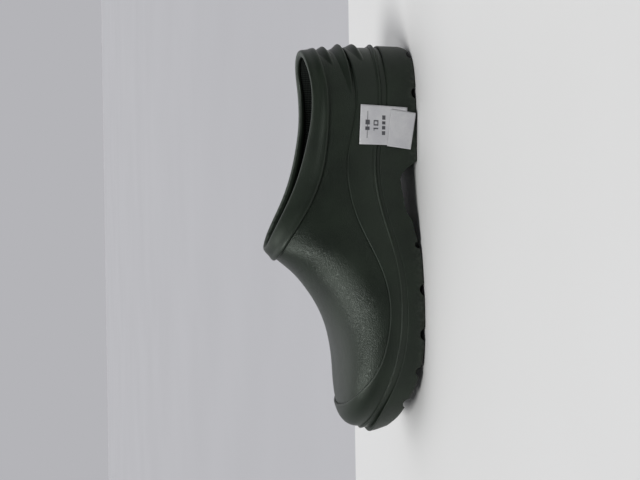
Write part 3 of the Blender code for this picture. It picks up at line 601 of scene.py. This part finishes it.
class CLOG_OT_upper(bpy.types.Operator):
    """Rubber sheet of the vamp and quarters, moulded with a leather grain"""

    bl_idname = "clog.upper"
    bl_label = "Upper"

    def execute(self, context):
        feather, way = columns_round(200)
        throat = ridge_crossing(upper_top)
        high = np.where(feather[:, 0] > throat, math.pi / 2, angle_where(feather, upper_top))
        share = np.linspace(0, 1, 96)[:, None]
        climb = facing_pairs(off_last(feather, way, high * share, np.zeros((96, len(feather)))), high)
        margin = [
            towards_middle(feather, np.full(len(feather), out), margin_height) for out in (0.8, 0.9, 0.985)
        ]
        margin.append(towards_middle(feather, np.ones(len(feather)), lambda s: margin_height(s) + 0.9))
        points = np.concatenate([np.stack(margin), climb])
        mesh = grid_mesh("upper", points, wrap_columns=True, solid=False)
        add_piece(mesh, upper_rubber(), "clog", ["upper_shell"], wall=UPPER_WALL)
        return {"FINISHED"}


class CLOG_OT_collar(bpy.types.Operator):
    """Folded band round the mouth, with a knife-trimmed inner edge"""

    bl_idname = "clog.collar"
    bl_label = "Collar"

    def execute(self, context):
        roll = settings().collar_roll / MM
        back = RIM_DEPTH + LINING_WALL + 0.35
        # Section of the band: millimetres up a band 13 high and out, from its foot over the top to the inside.
        section = loop_through(
            [(-0.1, 0.2), (-0.1, roll * 0.7), (0.5, roll * 0.95), (1.6, roll), (3.0, roll * 0.93)]
            + [(4.8, roll * 0.76), (8.0, roll * 0.7), (10.8, roll * 0.72), (12.3, roll * 0.58), (12.9, 0.5)]
            + [(13.0, -0.6), (12.85, -1.9), (12.3, -2.9), (11.5, -back - 0.3), (10.6, -back - 0.4)]
            + [(9.8, -back - 0.35), (9.5, -back - 0.15), (9.7, -back + 0.05), (10.9, -back + 0.05)]
            + [(11.2, -back + 1.2), (11.1, 0.1), (4.0, 0.2)]
        )(np.linspace(0, 1, 105)[:-1])
        share, out = section[:, 0][:, None] / 13, section[:, 1][:, None]
        turn = (1 - np.cos(np.linspace(0, math.pi, 190))) / 2

        def line(s):
            return BAND_FOOT(s) + share * (TOPLINE(s) - BAND_FOOT(s))

        start = ridge_crossing(line)[:, None]
        stations = start + (HEEL_S - start) * turn
        sides = []
        for side in (+1, -1):
            feather, way = feather_at(stations, side)
            angle = angle_where(feather, line)
            angle[:, 0] = math.pi / 2
            sides.append(off_last(feather, way, angle, out + 0 * angle))
        outer, inner = sides
        outer[:, 0] = inner[:, 0] = (outer[:, 0] + inner[:, 0]) / 2
        outer[:, -1] = inner[:, -1] = (outer[:, -1] + inner[:, -1]) / 2
        points = np.concatenate([outer, inner[:, -2:0:-1]], axis=1)
        trim = np.clip((share - 0.96) / 0.02, 0, 1) * np.clip((0.9 - out) / 0.4, 0, 1)
        mesh = grid_mesh("collar", points, wrap_rows=True, wrap_columns=True, values={"trim": trim})
        add_piece(mesh, trim_rubber(), "clog", ["collar_band"])
        return {"FINISHED"}


class CLOG_OT_foxing(bpy.types.Operator):
    """Mudguard strip with its rounded upper edge, and the bead over the join with the sole"""

    bl_idname = "clog.foxing"
    bl_label = "Mudguard and bead"

    def execute(self, context):
        feather, way = columns_round(220)
        wall = settings().mudguard_wall / MM
        low = angle_where(feather, lambda s: FEATHER_Z(s) + BEAD_TOP - 0.5)
        near_top = angle_where(feather, lambda s: MUDGUARD_TOP(s) - 2.0)
        rows = [(low, 0.1), (low, wall - 0.5), (low + (near_top - low) * 0.02, wall - 0.1)]
        rows += [(low + (near_top - low) * share, wall) for share in np.linspace(0.05, 1, 30)]
        for drop, out in ((1.3, 1.0), (0.8, 0.97), (0.45, 0.87), (0.2, 0.68), (0.06, 0.42), (0.0, 0.1)):
            rows.append((angle_where(feather, lambda s: MUDGUARD_TOP(s) - drop), wall * out))
        rows += [(near_top, -0.2), (low, -0.2)]
        angle = np.stack([row[0] for row in rows])
        out = np.array([row[1] for row in rows])[:, None] + 0 * angle
        mesh = grid_mesh("mudguard", off_last(feather, way, angle, out), wrap_rows=True, wrap_columns=True)
        add_piece(mesh, trim_rubber(), "clog", ["mudguard_band"])

        # Section of the bead: share of its reach, and share of the way from its crest to its upper or lower
        # end.
        section = loop_through(
            [(-0.1, 0.0), (0.0, 0.95), (0.45, 1.0), (0.6, 0.93), (0.63, 0.65), (0.72, 0.34), (0.86, 0.13)]
            + [(0.98, 0.03), (1.0, -0.04), (0.9, -0.1), (0.6, -0.27), (0.42, -0.55), (0.36, -0.97), (0.2, -1.0)]
            + [(0.0, -0.98)]
        )(np.linspace(0, 1, 61)[:-1])
        share, up = section[:, :1], section[:, 1:]
        undercut = np.where(up < 0, BEAD_UNDERCUT(feather[:, 0]), 1.0)
        share = 1 - (1 - share) * undercut
        plan = feather + flat_out(way) * (share * (BEAD_REACH(feather[:, 0]) + 0.4))[..., None]
        s = plan[..., 0]
        end = np.where(up > 0, BEAD_TOP, -0.8 - SOLE_DROP(s))
        height = FEATHER_Z(s) + BEAD_CREST(s) + (end - BEAD_CREST(s)) * np.abs(up)
        points = np.concatenate([plan, height[..., None]], -1)
        mesh = grid_mesh("bead", points, wrap_rows=True, wrap_columns=True)
        add_piece(mesh, trim_rubber(), "clog", ["welt_bead"])
        return {"FINISHED"}


class CLOG_OT_ribs(bpy.types.Operator):
    """Three kick-off ribs across the back of the heel, each sloping out to a crest that is undercut"""

    bl_idname = "clog.ribs"
    bl_label = "Heel ribs"

    def execute(self, context):
        reach_out = settings().rib_out / MM
        wall = settings().mudguard_wall / MM
        plans = (
            ("rib_top", RIB_TOP, 21.0, 0.0, 1.0, "heel_rib_top"),
            ("rib_middle", rib_middle, 46.0, 0.0, 1.5, "heel_rib_middle"),
            ("rib_lower", RIB_LOWER, 19.0, wall, 0.9, "heel_rib_lower"),
        )
        # Section of a rib: millimetres up from its crest, and share of its reach.
        section = loop_through(
            [(-3.6, -0.25), (-3.0, 0.06), (-2.0, 0.36), (-1.0, 0.78), (-0.3, 0.98), (0.3, 1.0), (1.2, 0.86)]
            + [(3.0, 0.5), (5.0, 0.18), (6.6, -0.02), (7.4, -0.3), (2.0, -0.4)]
        )(np.linspace(0, 1, 49)[:-1])
        for name, line, reach, base, size, node in plans:
            along = np.linspace(-1, 1, 131)
            span = HEEL_S + (reach - HEEL_S) * along**2
            outer, inner = feather_at(span, +1), feather_at(span, -1)
            feather, way = (np.where((along < 0)[:, None], a, b) for a, b in zip(outer, inner))
            fade = 0.02 + 0.98 * np.clip(1 - np.abs(along) ** 2.6, 0, 1) ** 1.5
            height = line(span) + section[:, :1] * (0.6 + 0.4 * fade)
            angle = angle_where(np.broadcast_to(feather, (48, 131, 2)), lambda s: height)
            sink = 0.35 * (1 - fade)
            points = off_last(feather, way, angle, base - sink + section[:, 1:] * fade * reach_out * size)
            mesh = grid_mesh(name, points, wrap_rows=True, caps=True)
            add_piece(mesh, trim_rubber(), "clog", [node])
        return {"FINISHED"}


class CLOG_OT_outsole(bpy.types.Operator):
    """Moulded sole: flared wall, rolled top edge, arch and round-topped tread grooves"""

    bl_idname = "clog.outsole"
    bl_label = "Outsole"

    def execute(self, context):
        feather, way = columns_round(430)
        normal = flat_out(way)
        flare, tuck = SOLE_FLARE(feather[:, 0]), SOLE_TUCK(feather[:, 0])
        hollow = np.array(ARCH)

        def ground(points):
            """Height of the underside: the higher of tread line, arch and each groove's round top."""
            s = points[..., 0]
            base = tread(s)
            under = np.maximum(base, np.interp(s, hollow[:, 0], hollow[:, 1]))
            for at, radius, deep in GROOVES:
                inside = np.clip(radius**2 - (s - at) ** 2, 0, None)
                top = tread(at) + deep - radius + np.sqrt(inside)
                wall = np.clip((radius + 0.25 - np.abs(s - at)) / 0.5, 0, 1)
                under = np.maximum(under, base + (top - base) * wall)
            return under

        def wall_row(out, share, lift=0.0):
            """A row of the side wall: share of the way from the tread up to the sole's top edge."""
            plan = feather + normal * np.broadcast_to(out, (len(feather),))[:, None]
            s = plan[:, 0]
            z = tread(s) + (sole_top(s) + SOLE_LIP(s) - tread(s)) * share + lift
            points = np.concatenate([plan, z[:, None]], -1)
            points[:, 2] = np.maximum(z, ground(points))
            return points

        rows = [towards_middle(feather, np.full(len(feather), share), sole_top) for share in (0, 0.5, 0.9, 1.0)]
        for out, drop in ((-0.95, 0.0), (-0.55, 0.07), (-0.24, 0.26), (-0.06, 0.56), (0.0, 0.95)):
            rows.append(wall_row(flare + out, 1.0, -drop))
        for share in np.linspace(0.88, 0.14, 22):
            rows.append(wall_row(flare - 0.05 - tuck * (1 - share) ** 1.6, share))
        for out, lift in ((-0.35, 1.5), (-0.6, 0.85), (-1.0, 0.36), (-1.5, 0.1), (-2.2, 0.01)):
            rows.append(wall_row(flare - tuck + out, 0.0, lift))
        for share in np.linspace(0.92, 0, 24):
            flat = towards_middle(feather, np.full(len(feather), share), tread)
            flat[..., 2] = ground(flat)
            rows.append(flat)
        mesh = grid_mesh("sole", np.stack(rows), wrap_columns=True)
        look = settings()
        dark, light = look.rubber_dark, look.rubber_light
        finish = rubber("moulded_sole_rubber", dark, light, 0.5, 0.8, 0.3, mottle_mm=18.0, scuff=0.3)[0]
        add_piece(mesh, finish, "clog", ["outsole"])
        return {"FINISHED"}


class CLOG_OT_lining(bpy.types.Operator):
    """Knitted sock bonded to the inside of the upper"""

    bl_idname = "clog.lining"
    bl_label = "Lining"

    def execute(self, context):
        feather, way = columns_round(170)
        throat = ridge_crossing(upper_top)
        low = angle_where(feather, lambda s: footbed_base(s) + 0.1)
        high = np.where(feather[:, 0] > throat, math.pi / 2, angle_where(feather, upper_top))
        share = np.linspace(0, 1, 60)[:, None]
        angle = low + (high - low) * share
        points = facing_pairs(off_last(feather, way, angle, -lining_depth(on_last(feather, angle))), high)
        points = np.concatenate([points, points[:, :1]], axis=1)
        around = np.cumsum(np.linalg.norm(np.diff(points, axis=1, prepend=points[:, :1]), axis=2), axis=1)
        around = np.broadcast_to(around[20], around.shape)
        up = np.cumsum(np.linalg.norm(np.diff(points, axis=0, prepend=points[:1]), axis=2), axis=0)
        mesh = grid_mesh("lining", points, solid=False, values={"around": around, "up": up})
        cloth = knit("sock_knit", linear("1A1E1B"), linear("2E3430"), 1.8, 1.3)
        piece = add_piece(mesh, cloth, "clog", ["lining_sock"], wall=LINING_WALL)
        return {"FINISHED"}


class CLOG_OT_footbed(bpy.types.Operator):
    """Loose foam footbed with a cloth cover"""

    bl_idname = "clog.footbed"
    bl_label = "Footbed"

    def execute(self, context):
        feather, way = columns_round(150)
        edge = feather - flat_out(way) * FOOTBED_INSET

        def layer(bottom, top):
            """Closed slab: from the middle out over the top, round the rim, and back under to the middle."""
            rows = []
            for share in [*np.linspace(0, 0.94, 16), 0.97, 0.99]:
                flat = towards_middle(edge, np.full(len(edge), share), lambda s: footbed_base(s) + top)
                rows.append(flat)
            for share, z in ((1.0, top - 0.35), (1.0, bottom + 0.35)):
                rows.append(towards_middle(edge, np.full(len(edge), share), lambda s: footbed_base(s) + z))
            for share in (0.985, 0.6, 0.0):
                rows.append(towards_middle(edge, np.full(len(edge), share), lambda s: footbed_base(s) + bottom))
            return np.stack(rows)

        pad = grid_mesh("footbed_pad", layer(0.0, 4.0), wrap_columns=True)
        foam = speckled("eva_foam", linear("4A4F49"), linear("5C625B"), 0.85, 0.7)
        add_piece(pad, foam, "footbed", ["footbed_foam"])
        points = layer(4.1, 5.5)
        around, up = points[..., 0], points[..., 1]
        mesh = grid_mesh("footbed_cloth", points, wrap_columns=True, values={"around": around, "up": up})
        cloth = knit("footbed_felt", linear("2B2F2C"), linear("454B46"), 1.6, 1.6)
        add_piece(mesh, cloth, "footbed", ["footbed_cover"])
        return {"FINISHED"}


PRINTED = [(51.5, 8.0), (80.5, 8.5), (79.2, 45.4), (49.0, 43.8)]
BLANK = [(55.7, 1.4), (83.4, 5.9), (80.7, 24.2), (52.7, 20.6)]


def label_points(corners, u, v, lift):
    """Points of a label: u runs from its front edge to its back edge and v from bottom to top. It lies off the
    mudguard above the bead, bridges to the bead and hangs straight down over the sole, with its free corners
    curling out."""
    low_back, low_front, high_front, high_back = (np.array(c, float) for c in corners)
    u, v = np.asarray(u, float)[..., None], np.asarray(v, float)[..., None]
    flat = (low_front * (1 - u) + low_back * u) * (1 - v) + (high_front * (1 - u) + high_back * u) * v
    s, z = flat[..., 0], flat[..., 1]
    edge = feather_at(s, +1)[0][..., 1]
    above = np.clip((z - FEATHER_Z(s) - 1.5) / 15.0, 0, 1)
    curl = 0.9 * np.clip(u[..., 0] - 0.75, 0, 1) * np.clip(0.35 - v[..., 0], 0, 1) * 4
    return np.stack([s, edge + 3.55 - 1.15 * above + curl + lift, z], -1)


class CLOG_OT_labels(bpy.types.Operator):
    """Two paper stock labels on the outer side of the heel; the printed one carries a size and plain bars"""

    bl_idname = "clog.labels"
    bl_label = "Labels"

    def execute(self, context):
        sheet = paper()
        u, v = np.meshgrid(np.linspace(0, 1, 24), np.linspace(0, 1, 30))
        for name, corners, lift, node in (
            ("label_printed", PRINTED, 0.0, "stock_label_printed"),
            ("label_blank", BLANK, 0.45, "stock_label_blank"),
        ):
            front = label_points(corners, u, v, lift + 0.16)
            rear = label_points(corners, u, v, lift)
            loop = np.concatenate([front, rear[::-1]])
            mesh = grid_mesh(name, loop.transpose(1, 0, 2), wrap_columns=True)
            self.close_ends(mesh)
            add_piece(mesh, sheet, "clog", [node])
        self.print_marks()
        return {"FINISHED"}

    def close_ends(self, mesh):
        """Fills the two open ends of the paper's thin tube."""
        tidy = bmesh.new()
        tidy.from_mesh(mesh)
        bmesh.ops.holes_fill(tidy, edges=[e for e in tidy.edges if e.is_boundary])
        bmesh.ops.recalc_face_normals(tidy, faces=tidy.faces)
        tidy.to_mesh(mesh)
        tidy.free()

    def print_marks(self):
        """Bars and a size number of plain strokes, laid on the label just over its face."""
        ink, tree, shader = new_material("printing_ink", 0.6)
        place = add_node(tree, "ShaderNodeTexCoord").outputs["Object"]
        patchy = add_node(tree, "ShaderNodeTexNoise", {"Vector": place, "Scale": 1500.0}).outputs["Fac"]
        tree.links.new(between(tree, patchy, linear("2A2A2E"), linear("6B6B70")), shader.inputs["Base Color"])
        # Each mark is (left, right, bottom, top) in shares of the label.
        rule = [(0.16, 0.84, 0.842, 0.852), (0.36, 0.45, 0.80, 0.89), (0.50, 0.62, 0.80, 0.89)]
        ten = [(0.39, 0.425, 0.62, 0.72), (0.48, 0.515, 0.62, 0.72), (0.585, 0.62, 0.62, 0.72)]
        ten += [(0.48, 0.62, 0.70, 0.72), (0.48, 0.62, 0.62, 0.64), (0.35, 0.42, 0.70, 0.715)]
        blocks = [(u0, u1, 0.47, 0.54) for u0, u1 in ((0.25, 0.35), (0.39, 0.48), (0.52, 0.6), (0.64, 0.75))]
        across, up, ink_lift = 5, 3, 0.25
        made = bmesh.new()
        for u0, u1, v0, v1 in rule + ten + blocks:
            u, v = np.meshgrid(np.linspace(u0, u1, across), np.linspace(v0, v1, up))
            spots = [made.verts.new(p) for p in world(label_points(PRINTED, u, v, ink_lift)).reshape(-1, 3)]
            for i in range(up - 1):
                for j in range(across - 1):
                    a = i * across + j
                    made.faces.new([spots[a], spots[a + across], spots[a + across + 1], spots[a + 1]])
        mesh = bpy.data.meshes.new("label_marks")
        made.to_mesh(mesh)
        made.free()
        add_piece(mesh, ink, "clog")


class CLOG_OT_inner(bpy.types.Operator):
    """Finishes of the pieces sealed inside: board, stiffeners, fillers and shank"""

    bl_idname = "clog.inner"
    bl_label = "Inner pieces"

    def execute(self, context):
        fibre = speckled("pressed_fibre", linear("8C7C64"), linear("AE9C80"), 0.9, 0.8, stretch=(0.4, 1, 1))
        board = speckled("insole_board", linear("5A5248"), linear("6E655A"), 0.85, 0.6)
        felt = speckled("filler_felt", linear("5A5751"), linear("77736B"), 0.95, 1.2)
        steel = speckled(
            "spring_steel", linear("8F9297"), linear("B5B8BC"), 0.32, 0.4, 1.0, stretch=(0.05, 1, 1)
        )
        finishes = {"toe_puff": fibre, "heel_counter": fibre, "insole_board": board, "heel_filler": felt}
        finishes |= {"forepart_filler": felt, "shank": steel}
        for node, finish in finishes.items():
            carried = frame["nodes"][node]
            carried.data.materials.clear()
            carried.data.materials.append(finish)
        return {"FINISHED"}


class CLOG_OT_stage(bpy.types.Operator):
    """Camera, pale floor and soft studio light"""

    bl_idname = "clog.stage"
    bl_label = "Stage"

    def execute(self, context):
        self.floor()
        self.lights()
        self.camera()
        return {"FINISHED"}

    def floor(self):
        mesh = bpy.data.meshes.new("floor")
        far = 12.0
        corners = [(-far, -far, 0), (far, -far, 0), (far, far, 0), (-far, far, 0)]
        mesh.from_pydata(corners, [], [(0, 1, 2, 3)])
        made, tree, shader = new_material("painted_board", 0.6, 0.3)
        place = add_node(tree, "ShaderNodeTexCoord").outputs["Object"]
        y = add_node(tree, "ShaderNodeSeparateXYZ", {0: place}).outputs["Y"]
        beyond = spread(tree, y, -0.2062, -0.2048, 1.0, 0.0)
        soft = add_node(tree, "ShaderNodeTexNoise", {"Vector": place, "Scale": 1.7, "Detail": 3}).outputs["Fac"]
        soft = spread(tree, soft, 0.3, 0.7, 0.0, 1.0)
        near = between(tree, soft, linear("DEDEDC"), linear("E3E3E2"))
        wall = between(tree, soft, linear("B9B9BC"), linear("BDBDC0"))
        mix = add_node(tree, "ShaderNodeMix", {0: beyond, 6: near, 7: wall}, data_type="RGBA")
        tree.links.new(mix.outputs[2], shader.inputs["Base Color"])
        mesh.materials.append(made)
        ground = bpy.data.objects.new("floor", mesh)
        bpy.context.scene.collection.objects.link(ground)

    def lights(self):
        """A broad ceiling light, a window high in front of the toe, and a room that is pale behind the clog and
        dim in front of it."""
        scene = bpy.context.scene
        scene.view_settings.view_transform = "Standard"
        room = bpy.data.worlds.new("room")
        room.use_nodes = True
        tree = room.node_tree
        way = add_node(tree, "ShaderNodeTexCoord").outputs["Generated"]
        y = add_node(tree, "ShaderNodeSeparateXYZ", {0: way}).outputs["Y"]
        pale = spread(tree, y, -0.35, 0.45, 1.0, 0.0)
        tone = between(tree, pale, linear("454649"), linear("B4B4B8"))
        tree.links.new(tone, tree.nodes["Background"].inputs["Color"])
        scene.world = room
        for name, energy, wide, way in (
            ("ceiling", 0.85, 70, (0.02, 0.42, -1)),
            ("window", 1.75, 24, (-0.40, -0.47, -0.79)),
        ):
            light = bpy.data.lights.new(name, "SUN")
            light.energy, light.angle = energy, math.radians(wide)
            lamp = bpy.data.objects.new(name, light)
            lamp.rotation_mode = "QUATERNION"
            lamp.rotation_quaternion = Vector(way).to_track_quat("-Z", "Y")
            scene.collection.objects.link(lamp)

    def camera(self):
        """A camera 1 m off the outer side, 11.2 degrees up, held on its side so that the toe points down."""
        rise, tip, roll = math.radians(11.2), math.atan(12 / 1280), math.radians(0.9)
        back = Vector((0, math.cos(rise), math.sin(rise)))
        right = (-back).cross(Vector((0, 0, 1))).normalized()
        up = right.cross(-back)
        ahead = -back * math.cos(tip) + up * math.sin(tip)
        up = right.cross(ahead)
        level = right * math.cos(roll) - up * math.sin(roll)
        upright = right * math.sin(roll) + up * math.cos(roll)
        place = Vector((151 - MIDDLE_S, -MIDDLE_Y, 60)) * MM + back
        turned = Matrix((-upright, level, -ahead)).transposed()
        lens = bpy.data.cameras.new("camera")
        lens.sensor_width, lens.lens = 36.0, 72.0
        lens.clip_start, lens.clip_end = 0.01, 50.0
        camera = bpy.data.objects.new("camera", lens)
        camera.matrix_world = Matrix.Translation(place) @ turned.to_4x4()
        bpy.context.scene.collection.objects.link(camera)
        bpy.context.scene.camera = camera


class CLOG_PT_sidebar(bpy.types.Panel):
    """Lists the clog's sizes, colours and pieces"""

    bl_label = "Garden clog"
    bl_space_type = "VIEW_3D"
    bl_region_type = "UI"
    bl_category = "Clog"

    def draw(self, context):
        look = context.scene.clog_settings
        for key in look.bl_rna.properties.keys():
            if key not in {"rna_type", "name"}:
                self.layout.prop(look, key)
        for operator in OPERATORS:
            self.layout.operator(operator.bl_idname)


OPERATORS = (
    CLOG_OT_stage,
    CLOG_OT_upper,
    CLOG_OT_collar,
    CLOG_OT_foxing,
    CLOG_OT_ribs,
    CLOG_OT_outsole,
    CLOG_OT_lining,
    CLOG_OT_footbed,
    CLOG_OT_labels,
    CLOG_OT_inner,
)
CLASSES = (ClogSettings, *OPERATORS, CLOG_PT_sidebar)


def register():
    for cls in CLASSES:
        bpy.utils.register_class(cls)
    bpy.types.Scene.clog_settings = PointerProperty(type=ClogSettings)


def unregister():
    del bpy.types.Scene.clog_settings
    for cls in reversed(CLASSES):
        bpy.utils.unregister_class(cls)


def main():
    register()
    for operator in OPERATORS:
        getattr(bpy.ops.clog, operator.bl_idname.partition(".")[2])()


if __name__ == "__main__":
    main()
